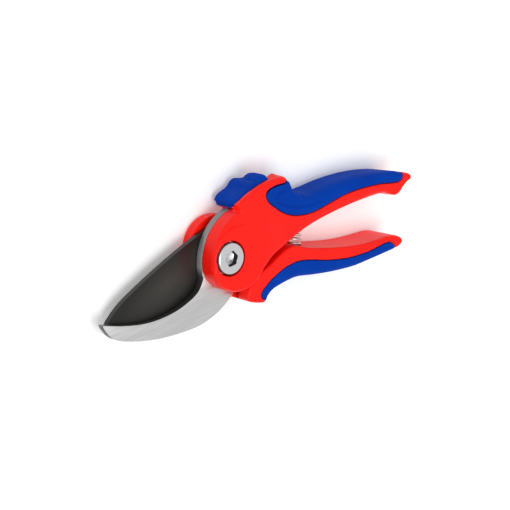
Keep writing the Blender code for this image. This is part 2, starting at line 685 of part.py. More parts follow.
def make_return_spring(steel):
    sides, steps = 8, 20
    axis = (Vector(spring_point(1)) - Vector(spring_point(0))).normalized()
    up = Vector((0, 0, 1))
    side = axis.cross(up)
    rings = []
    total = SPRING_TURNS * steps
    for i in range(total + 1):
        angle = 2 * math.pi * i / steps
        along = SPRING_LENGTH * (i / total - 0.5)
        out = side * math.cos(angle) + up * math.sin(angle)
        middle = Vector(spring_point(along)) + out * COIL_RADIUS
        rings.append([
            middle + WIRE_RADIUS * (out * math.cos(a) + axis * math.sin(a))
            for a in (2 * math.pi * k / sides for k in range(sides))
        ])
    stacked("return_spring", rings, colour=steel)


def make_spring_seats(red):
    """A stud that locates each end of the spring, on a base at the pocket's end."""
    for name, sign in (("upper_spring_seat", -1), ("lower_spring_seat", 1)):
        base = rod(name, spring_point(sign * SEAT_BASE), spring_point(sign * SEAT_END), 4.8, 32, colour=red)
        stud = rod("stud", spring_point(sign * SEAT_TIP), spring_point(sign * (SEAT_END - 0.2)), 2.8, 24)
        joined(base, stud)


# Lock.


def make_lock(blue, steel):
    crown = through(LOCK_CROWN, closed=False)
    block = crown + [sloping(LOCK_FLOOR, 12.6, LOCK_STEP), sloping(LOCK_FLOOR, 36.4, LOCK_STEP)]
    thumb = through(THUMB_CROWN, closed=False)
    thumb += [sloping(LOCK_FLOOR, 26.8, 1), sloping(LOCK_FLOOR, 36, 1)]
    slider = domed("lock_slider", block, BLOCK_LEVELS, colour=blue)
    leg = [
        sloping(LEG_FLOOR, 18.1, LOCK_STEP), sloping(LEG_FLOOR, 36.4, LOCK_STEP),
        sloping(LOCK_FLOOR, 36.4, 1), sloping(LOCK_FLOOR, 18.1, 1),
    ]
    lip = [
        sloping(LEG_FLOOR, 22.6, LOCK_STEP), sloping(LEG_FLOOR, 36.1, LOCK_STEP),
        sloping(RAIL_END, 36.1, -RAIL_DEPTH - LOCK_STEP), sloping(RAIL_END, 22.6, -RAIL_DEPTH - LOCK_STEP),
    ]
    toe = [(12.9, 20.7, 0), (15.6, 21.1, 0), (15.6, 24.2, 0), (12.9, 23.8, 0)]
    behind_toe = [(15, 21.6, 0), (18.8, 22.1, 0), (18.8, 24.6, 0), (15, 24, 0)]
    joined(
        slider,
        domed("thumb", thumb, THUMB_LEVELS),
        prism("leg", leg, LOCK_BACK + 0.2, LEG_TOP),
        prism("lip", lip, LEG_TOP - 1, HIGH_LIP),
        prism("toe", toe, LOCK_BACK + 0.4, TOE_TOP),
        prism("toe", behind_toe, LOCK_BACK + 0.3, LEG_TOP - 0.2),
    )
    plate = [(x, y, 0) for x, y in LATCH]
    latch = prism("lock_latch", anticlockwise(plate), LATCH_LOW, LATCH_HIGH, colour=steel)
    cut(slider, cutter(grown(anticlockwise(plate), GAP), LATCH_LOW - GAP, LATCH_HIGH + GAP))
    for target in (slider, latch):
        cut(target, disc("cutter", RIVET_RADIUS + GAP, BELOW, 12, None, LATCH_RIVET, 24, helper=True))
    rivet = [
        (0, LOCK_BACK - 0.9), (1.8, LOCK_BACK - 0.9), (2.2, LOCK_BACK - GAP - 0.2), (2.2, LOCK_BACK - GAP),
        (RIVET_RADIUS, LOCK_BACK - GAP), (RIVET_RADIUS, LEG_TOP - 0.3), (0, LEG_TOP - 0.3),
    ]
    turned("latch_rivet", rivet, LATCH_RIVET, 24, colour=steel)


def build():
    clear_scene()
    red = material("red_shell", (0.78, 0.02, 0.01), 0.42)
    blue = material("blue_grip", (0.01, 0.09, 0.42), 0.6)
    steel = material("satin_steel", (0.72, 0.72, 0.73), 0.3, 1.0)
    coated = material("blade_coating", (0.03, 0.028, 0.026), 0.35, 0.4)
    chrome = material("bolt_chrome", (0.82, 0.82, 0.84), 0.12, 1.0)
    nylon = material("nylon", (0.85, 0.85, 0.82), 0.5)
    make_upper_handle(red, blue)
    make_hook(steel)
    make_lower_handle(red, blue)
    make_blade(coated, steel)
    make_pivot(chrome, steel, nylon)
    make_return_spring(steel)
    make_spring_seats(red)
    make_lock(blue, steel)
    for obj in bpy.data.objects:
        tidy(obj)


build()
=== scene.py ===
"""The finished look of the bypass pruning shears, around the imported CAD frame.

Lengths in this file are millimetres, scaled to metres as each mesh is made, in the frame of the CAD:
+X from the blades to the handles, +Y towards the upper handle, +Z the front.
"""

import json
import math

import bmesh
import bpy
import numpy as np
from mathutils import Matrix, Vector
from mathutils.geometry import tessellate_polygon


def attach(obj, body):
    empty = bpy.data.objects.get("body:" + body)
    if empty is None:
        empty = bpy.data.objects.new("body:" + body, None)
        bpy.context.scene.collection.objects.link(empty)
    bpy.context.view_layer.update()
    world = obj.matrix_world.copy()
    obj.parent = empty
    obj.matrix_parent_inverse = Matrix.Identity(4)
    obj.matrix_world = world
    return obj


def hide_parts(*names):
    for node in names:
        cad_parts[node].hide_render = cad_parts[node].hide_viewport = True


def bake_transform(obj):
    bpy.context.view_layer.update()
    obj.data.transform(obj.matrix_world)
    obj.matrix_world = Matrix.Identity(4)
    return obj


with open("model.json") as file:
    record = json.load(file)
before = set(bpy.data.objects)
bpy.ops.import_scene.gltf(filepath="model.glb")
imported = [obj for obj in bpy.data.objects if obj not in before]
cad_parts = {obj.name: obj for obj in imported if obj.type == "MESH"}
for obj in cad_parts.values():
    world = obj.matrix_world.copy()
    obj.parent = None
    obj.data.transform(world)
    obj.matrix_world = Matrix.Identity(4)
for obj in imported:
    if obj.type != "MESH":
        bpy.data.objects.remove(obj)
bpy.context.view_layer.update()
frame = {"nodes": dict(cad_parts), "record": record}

MM = 0.001
GAP = 0.3
PER_SPAN = 8
ROUND_STEPS = 8

# The same driving dimensions and outlines as the CAD.

# Heights of the stack, from the back to the front.
BACK_HEAD_TOP = 6.8
BLADE_LOW, BLADE_TOP = 7.1, 10.1
HOOK_LOW, HOOK_TOP = 10.4, 14.4
FRONT_HEAD_LOW = 14.7
HANDLE_TOP = 22.4
HEAD_TOP = 23.8
BOSS_TOP = 24.8
MIDDLE = HANDLE_TOP / 2
BELOW, ABOVE = -2.0, 28.0

# Pivot.
SHANK_RADIUS = 4.0
SLEEVE_OUTER = 6.0
RUNNING_GAP = 0.15
BOLT_HEAD_RADIUS, BOLT_HEAD_LOW, BOLT_HEAD_TOP = 8.0, 20.4, 25.2
# The bolt head's recess is 0.5 tighter here than in the CAD, so that less of the washer shows.
BOLT_RECESS, RECESS_FLOOR = 9.1, 18.6
RECESS_CHAMFER = 1.2
SOCKET_FLATS, SOCKET_DEPTH = 7.4, 3.4
NUT_RECESS_RADIUS, NUT_RECESS_TOP = 8.6, 4.0

# The front head is a nose circle with a wider arc up its blade side.
NOSE_CENTRE, NOSE_RADIUS = (5.9, -2.2), 17.7
CHEEK_CENTRE, CHEEK_RADIUS = (15.6, -7.1), 27.6
BACK_HEAD_CENTRE, BACK_HEAD_RADIUS = (4.5, 1.5), 16.4
BACK_SWING_RADIUS = 22.2
HOOK_SWING_RADIUS = 29.2

# The lock slides up the head's top edge.
SLIDE_ANGLE = math.radians(9.0)
RAIL_END = (45.6, 26.6)
RAIL_DEPTH = 1.9

# Return spring: its middle, the direction of its axis, and its size.
SPRING_MIDDLE = (50.2, -10.9)
SPRING_AXIS = (-0.3, -0.954)
SPRING_LENGTH = 18.0
SPRING_TURNS = 8
WIRE_RADIUS, COIL_RADIUS = 0.6, 4.0
POCKET_RADIUS, POCKET_REACH = 5.2, 10.6

HOOK_SCREWS = ((29.0, 14.0), (40.5, 6.0))
BLADE_SCREWS = ((31.0, -17.5), (37.5, -19.5))
SCREW_HEAD, SCREW_SHANK, SCREW_SEAT = 3.0, 1.6, 3.3
WASHER_RADIUS, WASHER_SEAT = 7.6, 5.9
CORE_SKIN = 2.2
HIGH_LIP = 13.5

# Outlines. Each point is x, y and the radius of the rounded edge there.
UPPER_OUTLINE = [
    (26, -10.8, 3), (36, -8.6, 3), (48, -6.3, 4), (60, -4.9, 4), (72, -4.6, 4), (84, -4.9, 4),
    (97, -6, 4), (106, -7, 3), (110.2, -8.8, 2), (113.6, -10.9, 1.5), (116.8, -10.6, 1.5),
    (119.6, -8.4, 1), (123, -6.6, 0.6), (125.6, -6, 0.6), (125.5, -3.4, 0.8), (121.4, -0.6, 3),
    (114, 2.3, 4.5), (103, 5.4, 5), (91, 7.9, 5.5), (79, 9.5, 5.5), (67, 10.1, 5.5),
    (59.6, 10.8, 5), (54, 13.9, 4.5), (50, 18.3, 4), (47.8, 23.6, 3), (44.4, 26.8, 2.5),
    (39, 28.1, 2), (32, 28.7, 1.5), (22, 27.4, 1.2),
]
UPPER_CORNER = [(11.2, 24.4, 1.2)]
LOWER_OUTLINE = [
    (19.5, -15.8, 1), (26.3, -13.9, 1.2), (32.2, -11.9, 1.2), (38, -10.5, 1.2),
    (41.6, -10.6, 1.2), (46, -12.6, 1.2), (53, -16.3, 1.2), (60, -19.2, 1.2), (70, -22.9, 1.2),
    (80, -26.1, 1.5), (90, -28.5, 1.5), (99, -29.8, 2), (105.5, -30.8, 2), (109.8, -32.4, 2),
    (112.5, -35, 1.5), (111.9, -37.4, 1.5), (108.6, -38.9, 2.5), (101, -39.2, 4), (89, -38.7, 4.5),
    (78, -37.8, 4.5), (65, -35.2, 4.5), (53, -32, 4.5), (42, -28.6, 4.5), (35, -27.8, 4),
    (28.5, -27.8, 3.5), (24, -28.2, 3), (20.2, -29.5, 2), (17, -31.8, 1.5), (11.2, -29.7, 1.2),
    (6.5, -26.4, 1), (7.6, -23, 1), (10.5, -19.6, 1),
]
BACK_HEAD_FOOT = [
    (-3.6, -15.5, 1.5), (1, -22.4, 1.5), (7, -27.6, 1.5), (14, -28, 1.5), (22, -24, 1.5),
    (24, -17.5, 1.5), (20.3, -11, 1.5), (20.9, -4, 1.5),
]
UPPER_GRIP_EDGE = [
    (47.5, 30, 0), (45.2, 23.8, 0), (39.6, 24.2, 0), (34, 24.4, 0), (30.6, 22.6, 0), (31, 18.6, 0),
    (35.2, 13.2, 0), (40.6, 8, 0), (48, 4, 0), (58, 1.8, 0), (70, 2.2, 0), (80, 2.7, 0),
    (91, 1.8, 0), (104, -0.7, 0), (113, -3.5, 0), (118, -4.3, 0), (121.2, -1.6, 0),
    (124, 6, 0),
]
UPPER_GRIP_OUTSIDE = [(110, 20, 0), (62, 26, 0)]
LOWER_GRIP_EDGE = [
    (19, -38, 0), (17.6, -31, 0), (15.8, -29.1, 0), (15.4, -27.4, 0), (16.8, -25.4, 0),
    (22.3, -22.6, 0), (26.4, -21.2, 0), (33.7, -19.5, 0), (42, -19.5, 0), (50.3, -22, 0),
    (62.9, -27.3, 0), (76, -31.2, 0), (89.7, -33.1, 0), (101, -33.2, 0), (105.6, -35.4, 0),
    (109, -44, 0),
]
LOWER_GRIP_OUTSIDE = [(60, -46, 0)]
UPPER_CORE = [
    (24, 15, 2), (30, 6, 2), (40, -0.5, 2), (50, -2, 2), (64, -1.6, 2), (84, -2, 2),
    (103, -4.2, 2), (112, -6.6, 1), (116.6, -5.6, 0.8), (116.4, -2.4, 0.8), (112, 0, 1),
    (103, 2.7, 2), (84, 6.4, 2), (66, 7.6, 2), (57, 9.2, 2), (51.4, 13.2, 2), (47.4, 18.6, 2),
    (43.5, 24, 2), (35, 25.6, 2), (27, 22, 2),
]
LOWER_CORE = [
    (12.5, -26, 1.5), (17, -20.7, 1.5), (28, -16.8, 1.5), (40, -14.5, 1.5), (50, -18.3, 1.5),
    (66, -24, 1.5), (84, -29.6, 1.5), (95, -31.4, 1), (101, -32.8, 0.8), (103, -34.8, 0.8),
    (101, -36.5, 0.8), (95, -36.8, 1), (84, -36, 1.5), (74, -34.8, 1.5), (62, -32.1, 1.5),
    (50, -28.8, 1.5), (41, -26, 1.5), (34, -25.3, 1.5), (27, -25.3, 1.5), (20.5, -26.4, 1.5),
    (15.5, -28, 1.5),
]
HOOK_JAW = [
    (-12, -6.4, 0), (-12.3, -8.6, 0), (-16.5, -13.2, 0), (-23, -15.8, 0), (-33, -17.5, 0),
    (-45, -17.1, 0), (-56, -14.8, 0), (-66.6, -11, 0),
]
HOOK_BACK = [
    (-76.5, -6.6, 0), (-75.4, -10.2, 0), (-72.4, -15.2, 0), (-67, -19, 0), (-57, -23.3, 0),
    (-45, -27, 0), (-32, -29.4, 0), (-20, -30.4, 0), (-9, -28.8, 0), (0, -25.2, 0),
    (5, -22, 0), (10, -16.5, 0), (19, -10.5, 0), (30, -5, 0), (42, -1.5, 0), (45.5, 2.5, 0),
    (43.5, 7, 0), (36, 12.5, 0), (27, 15.5, 0), (18, 17.4, 0),
]
# The blade's third number is the width of the bevel ground behind its edge.
BLADE_SPINE = [
    (-71.4, -10.6, 0), (-66.5, -5.9, 0), (-58, -1.6, 0), (-44.4, 2.9, 0), (-30, 7.1, 0),
    (-16, 10.6, 0), (-5, 12.9, 0), (3, 13.6, 0), (10, 11.4, 0), (14.6, 5, 0), (17, -3.5, 0),
    (22, -11, 0), (30, -13, 0), (38, -13.2, 0), (41, -15.5, 0), (39.5, -19.5, 0),
    (33, -21.8, 0), (25, -22.2, 0), (17, -21, 0), (9, -17.6, 0), (0, -16.6, 1),
]
BLADE_EDGE = [
    (-9, -16.6, 3), (-21, -18.4, 5), (-34, -19.8, 6), (-46, -19.2, 6), (-57, -17, 5),
    (-66, -13.6, 3),
]
# The handles' ends slope: towards the back they are drawn in along X.
DRAFT_START, DRAFT_END = 90.0, 126.0
UPPER_DRAFT, LOWER_DRAFT = 5.0, 3.0
# Behind the rail the upper handle's top edge is a straight line for the lock's leg.
TOE_FLOOR = [(12.2, 20.2, 0), (17.6, 20.8, 0)]
TOE_TOP = 17.0
LEG_FLOOR = (17.6, 18.0)
LEG_END = 44.2
HUMP_BACK, TONGUE_BACK = 12.0, 4.2
BACK_HUMP_EDGE = [(41.5, 21.6, 0), (46, 20.1, 0), (50, 17.5, 0), (54, 14.1, 0), (57, 11.2, 0)]

# Lock slider.
LOCK_FLOOR = (12.0, 22.5)
LOCK_CROWN = [
    (36.4, 27.8, 0), (33, 28.1, 1), (30.9, 28.5, 1), (28.6, 29.4, 1), (26.7, 30, 1),
    (25, 29.9, 1), (23.4, 29.1, 1), (21.9, 27.9, 1), (19.8, 27.1, 1), (16.2, 26.5, 1),
    (13.4, 25.3, 1), (12.6, 23.8, 0),
]
# The thumb piece is domed. The crowns' third number is how much of each level's inset they take.
THUMB_CROWN = [
    (36.2, 27.9, 0), (36, 29, 0.8), (35.2, 30.7, 1), (33.6, 31.8, 1), (31.8, 31.9, 1),
    (29.8, 31.2, 1), (27.6, 29.9, 1), (26.4, 28.4, 0.5), (26.6, 27.2, 0),
]
# Each level is a height and the inset there.
THUMB_LEVELS = [(6.2, 2.7), (7.3, 1.5), (9, 0.7), (12, 0.1), (18.9, 0), (19.9, 0.4), (20.4, 1.1)]
BLOCK_LEVELS = [(3.0, 0.6), (3.7, 0), (19.7, 0), (20.5, 0.6)]
LOCK_BACK = 3.0
LOCK_STEP = 0.35
FRONT_LIP_LOW = 20.8
RAIL_LOW, RAIL_HIGH, RAIL_ROOT_HIGH = 10.7, 13.9, 15.8
RAIL_START, RAIL_ROOT_END = 22.0, 35.5
LEG_TOP = 10.4
LATCH_LOW = 7.6

# Numbers of the looks alone.

# How much the soft grips' edges move out. It is negative, so the seam is a little wider than in the CAD.
SEAM = -0.06
BOSS_RADIUS = 16.7
PAD_GROOVE = [
    (45.4, 19.3), (41.5, 20), (38.8, 19.7), (37.1, 18.4), (37.2, 16.2), (38.7, 14.2),
    (41.6, 12), (44.5, 10.2), (50.7, 7.6), (57.2, 6), (64, 5.5), (71, 5.8),
]
GROOVE_DEPTH, GROOVE_WIDTH = 0.7, 0.55
PAD_START, PAD_END, PAD_RISE = 55, 120, 0.5
PAD_RAMP = 0.8

# Sizes of the even remesh of the moulded pieces.
HANDLE_VOXEL, SLIDER_VOXEL = 0.35, 0.3
SLIDER_SOFTENING = 8
CRISP_ANGLE = 30

SPRING_SIDES, SPRING_STEPS = 16, 48

# Setting. The camera's angles are in degrees. PIVOT_IN_VIEW is the top of the boss in its axes, in metres.
WORLD_STRENGTH = 0.72
KEY_PLACE, KEY_SIZE, KEY_POWER = (-0.5, -0.15, 1.75), 1.0, 14
FLOOR_GLOW, FLOOR_DROP, FLOOR_HALF = 0.15, 0.4, 4000
CAMERA_TILT, CAMERA_PITCH, CAMERA_ROLL = 41, 15, 33.8
CAMERA_LENS, SENSOR_WIDTH = 211.8, 36
PIVOT_IN_VIEW = (-0.01185, -0.0019, -1.5)


def through(points, closed=True, per_span=PER_SPAN):
    """A Catmull-Rom curve through the points, per_span points for each span."""
    found = []
    count = len(points)
    spans = count if closed else count - 1
    for i in range(spans):
        if closed:
            four = [Vector(points[(i + k) % count]) for k in (-1, 0, 1, 2)]
        else:
            four = [Vector(points[min(max(i + k, 0), count - 1)]) for k in (-1, 0, 1, 2)]
        for step in range(per_span):
            t = step / per_span
            a, b, c, d = four
            found.append(
                b + 0.5 * t * (c - a + t * (2 * a - 5 * b + 4 * c - d + t * (3 * b - a - 3 * c + d)))
            )
    if not closed:
        found.append(Vector(points[-1]))
    return [tuple(point) for point in found]


def arc(centre, radius, start, end, count, edge=0.0):
    """count + 1 points on a circle, from start to end in degrees."""
    angles = [math.radians(start + (end - start) * i / count) for i in range(count + 1)]
    return [
        (centre[0] + radius * math.cos(a), centre[1] + radius * math.sin(a), edge) for a in angles
    ]


def anticlockwise(outline):
    """The outline, turned round if it runs clockwise."""
    area = sum(
        a[0] * b[1] - b[0] * a[1] for a, b in zip(outline, outline[1:] + outline[:1])
    )
    return outline if area > 0 else outline[::-1]


def grown(outline, distances):
    """The outline with each point moved out along its normal; distances is a number or a list."""
    count = len(outline)
    if not isinstance(distances, list):
        distances = [distances] * count
    found = []
    for i, (x, y, edge) in enumerate(outline):
        before, after = outline[i - 1], outline[(i + 1) % count]
        along = Vector((after[0] - before[0], after[1] - before[1])).normalized()
        found.append((x + along.y * distances[i], y - along.x * distances[i], edge))
    return found


def upper_outline():
    cheek = arc(CHEEK_CENTRE, CHEEK_RADIUS, 97, 174, 40, 1.6)
    nose = arc(NOSE_CENTRE, NOSE_RADIUS, 192, 318, 60, 2.2)
    rest = through([nose[-1], *UPPER_OUTLINE, *UPPER_CORNER], closed=False)
    return UPPER_CORNER + cheek + nose[:-1] + rest[:-1]


def lower_outline():
    return anticlockwise(through(LOWER_OUTLINE))


def hook_outline():
    cheek = arc(CHEEK_CENTRE, CHEEK_RADIUS, 97, 174, 40)
    jaw = through(HOOK_JAW, closed=False)
    back = through(HOOK_BACK, closed=False)
    return anticlockwise(cheek + jaw + back)


def blade_outline():
    """Here the third number is the width of the ground bevel behind the edge."""
    return anticlockwise(through(BLADE_SPINE + BLADE_EDGE))


def top_at(x):
    """The height of the upper handle's front face, which drops from the head to the grip."""
    share = min(max((x - 18) / 36, 0), 1)
    return HEAD_TOP + (HANDLE_TOP - HEAD_TOP) * share * share * (3 - 2 * share)


def end_share(x):
    """How far x is into the handles' sloping ends, eased from 0 to 1."""
    share = min(max((x - DRAFT_START) / (DRAFT_END - DRAFT_START), 0), 1)
    return share * share * (3 - 2 * share)


def stacked(name, rings, **options):
    """A solid from rings of equal length, each a list of 3-D points, with flat ends."""
    mesh_data = bmesh.new()
    made = [[mesh_data.verts.new(point) for point in ring] for ring in rings]
    for low, high in zip(made, made[1:]):
        for i in range(len(low)):
            j = (i + 1) % len(low)
            mesh_data.faces.new((low[i], low[j], high[j], high[i]))
    for end in (made[0], made[-1]):
        for corners in tessellate_polygon([[vert.co for vert in end]]):
            mesh_data.faces.new([end[i] for i in corners])
    return mesh_object(name, mesh_data, **options)


def prism(name, outline, low, high, **options):
    rings = [[(x, y, z) for x, y, _ in outline] for z in (low, high)]
    return stacked(name, rings, **options)


def domed(name, outline, levels, **options):
    """A plate drawn in by a distance at each height, times the outline's third number."""
    outline = anticlockwise(outline)
    rings = []
    for z, inset in levels:
        moved = grown(outline, [-inset * share for _, _, share in outline])
        rings.append([(x, y, z) for x, y, _ in moved])
    return stacked(name, rings, **options)


def cutter(outline, low, high):
    return prism("cutter", outline, low, high, helper=True)


def rounded_slab(name, outline, low, high, steps=3, draft=0, **options):
    """A plate whose front and back edges are rounded by each point's own radius.

    high is a height, or a function of x. draft draws in the back of a handle's end by so much.
    """
    outline = anticlockwise(outline)
    height = high if callable(high) else lambda x: high
    rings = []
    for front in (False, True):
        for step in range(steps + 1):
            turn = math.radians(90 * (step if front else steps - step) / steps)
            inset = [-edge * (1 - math.cos(turn)) for _, _, edge in outline]
            rise = [edge * (1 - math.sin(turn)) for _, _, edge in outline]
            moved = grown(outline, inset)
            ring = [
                (x, y, height(x) - lift if front else low + lift)
                for (x, y, _), lift in zip(moved, rise)
            ]
            rings.append([
                (x - draft * end_share(x) * (1 - z / HANDLE_TOP), y, z) for x, y, z in ring
            ])
    return stacked(name, rings, **options)


def turned(name, profile, centre=(0, 0), count=128, **options):
    """A closed (radius, z) profile turned about a vertical axis; a radius of 0 is on the axis."""
    mesh_data = bmesh.new()
    columns = []
    for i in range(count):
        angle = 2 * math.pi * i / count
        columns.append([
            mesh_data.verts.new((centre[0] + r * math.cos(angle), centre[1] + r * math.sin(angle), z))
            for r, z in profile
        ])
    for i, column in enumerate(columns):
        after = columns[(i + 1) % count]
        for j in range(len(profile)):
            k = (j + 1) % len(profile)
            if profile[j][0] or profile[k][0]:
                mesh_data.faces.new((column[j], after[j], after[k], column[k]))
    bmesh.ops.remove_doubles(mesh_data, verts=mesh_data.verts[:], dist=1e-4)
    bmesh.ops.dissolve_degenerate(mesh_data, edges=mesh_data.edges[:], dist=1e-5)
    return mesh_object(name, mesh_data, **options)


def disc(name, radius, low, high, inner=None, centre=(0, 0), count=128, **options):
    if inner is None:
        profile = [(0, low), (radius, low), (radius, high), (0, high)]
    else:
        profile = [(inner, low), (radius, low), (radius, high), (inner, high)]
    return turned(name, profile, centre, count, **options)


def hexagon(flats):
    return arc((0, 0), flats / math.sqrt(3), 0, 300, 5)


def rod(name, start, end, radius, count=24, **options):
    """A round bar between two 3-D points."""
    start, end = Vector(start), Vector(end)
    turn = (end - start).to_track_quat("Z", "Y").to_matrix()
    rings = []
    for point in (start, end):
        rings.append([
            point + turn @ Vector((radius * math.cos(a), radius * math.sin(a), 0))
            for a in (2 * math.pi * i / count for i in range(count))
        ])
    return stacked(name, rings, **options)


def combine(target, others, operation="DIFFERENCE"):
    """Applies one Boolean after another to target, and removes the other objects."""
    for other in others:
        modifier = target.modifiers.new(operation.lower(), "BOOLEAN")
        modifier.operation = operation
        modifier.object = other
        # EXACT empties the upper handle when its rooms are cut, and leaves open edges elsewhere.
        modifier.solver = "MANIFOLD"
        graph = bpy.context.evaluated_depsgraph_get()
        mesh = bpy.data.meshes.new_from_object(target.evaluated_get(graph))
        target.modifiers.clear()
        target.data = mesh
        bpy.data.objects.remove(other)
    return target


def cut(target, *others):
    return combine(target, others, "DIFFERENCE")


def joined(target, *others):
    return combine(target, others, "UNION")


def kept(target, other):
    return combine(target, [other], "INTERSECT")


def spring_point(along, height=MIDDLE):
    """A point on the return spring's axis, along from its middle towards the lower handle."""
    return (
        SPRING_MIDDLE[0] + SPRING_AXIS[0] * along,
        SPRING_MIDDLE[1] + SPRING_AXIS[1] * along,
        height,
    )


def sloping(start, x, rise=0.0):
    """The point at x on the line through start that runs along the lock's travel, raised by rise."""
    return (x, start[1] + (x - start[0]) * math.tan(SLIDE_ANGLE) + rise, 0)


def upper_shell(name):
    """The whole outside of the upper handle, before it is split into body and soft grip."""
    return rounded_slab(name, upper_outline(), 0, top_at, draft=UPPER_DRAFT)


def head_room():
    """The room behind the front head where the plates and the back head turn."""
    swing = arc((0, 0), BACK_SWING_RADIUS, -14, 46, 40)
    corners = [
        (15.4, 19.2, 0), (13.8, 19.6, 0), (12.4, 21, 0), (12.4, 34, 0), (-30, 34, 0),
        (-30, -34, 0), (26, -34, 0), (25, -11.6, 0),
    ]
    return cutter(swing + corners, BELOW, FRONT_HEAD_LOW)


def lock_room():
    """The room for the lock: over the leg's floor, behind the front lip, and behind the hump."""
    leg = TOE_FLOOR + [
        (*LEG_FLOOR, 0), sloping(LEG_FLOOR, LEG_END), (LEG_END, 40, 0), (5, 40, 0), (5, 20.6, 0),
    ]
    front = [sloping(LOCK_FLOOR, 8), sloping(LOCK_FLOOR, LEG_END), (LEG_END, 40, 0), (8, 40, 0)]
    toe = [(8, 19.7, 0), (12.2, 20.2, 0), (22, 21.6, 0), (22, 26, 0), (8, 26, 0)]
    corner = [(5, 14, 0), (18.5, 14, 0), (18.5, 40, 0), (5, 40, 0)]
    hump = through(BACK_HUMP_EDGE, closed=False) + [(60, 12.6, 0), (62, 40, 0), (41.5, 40, 0)]
    return [
        cutter(leg, BELOW, FRONT_HEAD_LOW),
        cutter(front, FRONT_HEAD_LOW - 1, FRONT_LIP_LOW),
        cutter(toe, FRONT_HEAD_LOW - 1, TOE_TOP + 2 * GAP),
        cutter(hump, BELOW, HUMP_BACK),
        cutter(corner, BELOW, TONGUE_BACK),
    ]


def rail(start, end, low, high):
    outline = [
        sloping(RAIL_END, start, -RAIL_DEPTH), sloping(RAIL_END, end, -RAIL_DEPTH),
        sloping(RAIL_END, end), sloping(RAIL_END, start),
    ]
    return prism("rail", outline, low, high)


def pivot_holes():
    rim = BOLT_RECESS + RECESS_CHAMFER
    recess = [
        (0, RECESS_FLOOR), (BOLT_RECESS, RECESS_FLOOR), (BOLT_RECESS, BOSS_TOP - 0.8),
        (rim, BOSS_TOP + 1), (0, BOSS_TOP + 1),
    ]
    return [
        turned("cutter", recess, helper=True),
        disc("cutter", SHANK_RADIUS + GAP, BELOW, ABOVE, helper=True),
    ]


def screw_hole(centre, top):
    """A stepped hole from the back for a cap screw."""
    profile = [
        (0, BELOW), (SCREW_HEAD + GAP, BELOW), (SCREW_HEAD + GAP, SCREW_SEAT + GAP),
        (SCREW_SHANK + GAP, SCREW_SEAT + GAP), (SCREW_SHANK + GAP, top), (0, top),
    ]
    return turned("cutter", profile, centre, 48, helper=True)


def spring_pocket():
    ends = spring_point(-POCKET_REACH), spring_point(POCKET_REACH)
    return rod("cutter", *ends, POCKET_RADIUS, 64, helper=True)


def grip_region(edge, outside):
    return anticlockwise(through(edge, closed=False) + outside)


def soft_grip(shell, region, core, draft):
    """The soft overmould: the part of the shell in the region, over the hard core."""
    kept(shell, cutter(region, BELOW, ABOVE))
    low, high = CORE_SKIN, HANDLE_TOP - CORE_SKIN
    return cut(shell, rounded_slab("cutter", through(core), low, high, 4, draft, helper=True))


def hard_body(shell, region, core, draft):
    """The moulded body: the rest of the shell, with the core that the soft grip wraps."""
    cut(shell, cutter(grown(region, GAP), BELOW, ABOVE))
    inner = grown(anticlockwise(through(core)), -GAP)
    low, high = CORE_SKIN + GAP, HANDLE_TOP - CORE_SKIN - GAP
    return joined(shell, rounded_slab("core", inner, low, high, 4, draft))


def latch_slot():
    """The slot in the back shell that the latch's finger slides in."""
    floor = (16.2, 15.0)
    outline = [(*floor, 0), sloping(floor, 28.6), (28.6, 24, 0), (16.2, 24, 0)]
    return cutter(outline, LATCH_LOW - GAP, HOOK_LOW)


def lower_shell(name):
    return rounded_slab(name, lower_outline(), 0, HANDLE_TOP, draft=LOWER_DRAFT)


def back_head():
    """The lower handle's head behind the blade, with its neck to the handle."""
    head = arc(BACK_HEAD_CENTRE, BACK_HEAD_RADIUS, 10, 225, 90, 1.5)
    foot = through([head[-1], *BACK_HEAD_FOOT, head[0]], closed=False)
    slab = rounded_slab("head", head + foot[1:-1], 0, BACK_HEAD_TOP + 3, ROUND_STEPS)
    return kept(slab, disc("cutter", 60, BELOW, BACK_HEAD_TOP, helper=True))


def nut_hole():
    profile = [
        (0, BELOW), (NUT_RECESS_RADIUS, BELOW), (NUT_RECESS_RADIUS, NUT_RECESS_TOP),
        (SHANK_RADIUS + 0.5, NUT_RECESS_TOP), (SHANK_RADIUS + 0.5, WASHER_SEAT),
        (WASHER_RADIUS + GAP, WASHER_SEAT), (WASHER_RADIUS + GAP, BLADE_LOW), (0, BLADE_LOW),
    ]
    return turned("cutter", profile, helper=True)


def mesh_object(name, mesh_data, helper=False):
    """A new object from the mesh, in metres. A helper is hidden until a Boolean uses it up."""
    bmesh.ops.recalc_face_normals(mesh_data, faces=mesh_data.faces[:])
    bmesh.ops.scale(mesh_data, vec=(MM, MM, MM), verts=mesh_data.verts[:])
    mesh = bpy.data.meshes.new(name)
    mesh_data.to_mesh(mesh)
    mesh_data.free()
    obj = bpy.data.objects.new(name, mesh)
    bpy.context.scene.collection.objects.link(obj)
    if helper:
        obj.hide_render = True
    return obj


# Surface work on the finished solids.


def applied(obj):
    """The object with its modifiers applied."""
    graph = bpy.context.evaluated_depsgraph_get()
    mesh = bpy.data.meshes.new_from_object(obj.evaluated_get(graph))
    obj.modifiers.clear()
    obj.data = mesh
    return obj


def moulded(obj, voxel, rounds=4):
    """Remeshes a solid evenly and softens its edges, as a moulding's edges are."""
    remesh = obj.modifiers.new("remesh", "REMESH")
    remesh.mode = "VOXEL"
    remesh.voxel_size = voxel * MM * 1
    soften = obj.modifiers.new("soften", "SMOOTH")
    soften.factor = 0.5
    soften.iterations = rounds
    applied(obj)
    shade(obj, 180)
    return obj


def shade(obj, angle):
    """Smooth shading, with edges sharper than angle degrees kept crisp."""
    for face in obj.data.polygons:
        face.use_smooth = True
    if angle < 180:
        obj.data.set_sharp_from_angle(angle=math.radians(angle))
    return obj


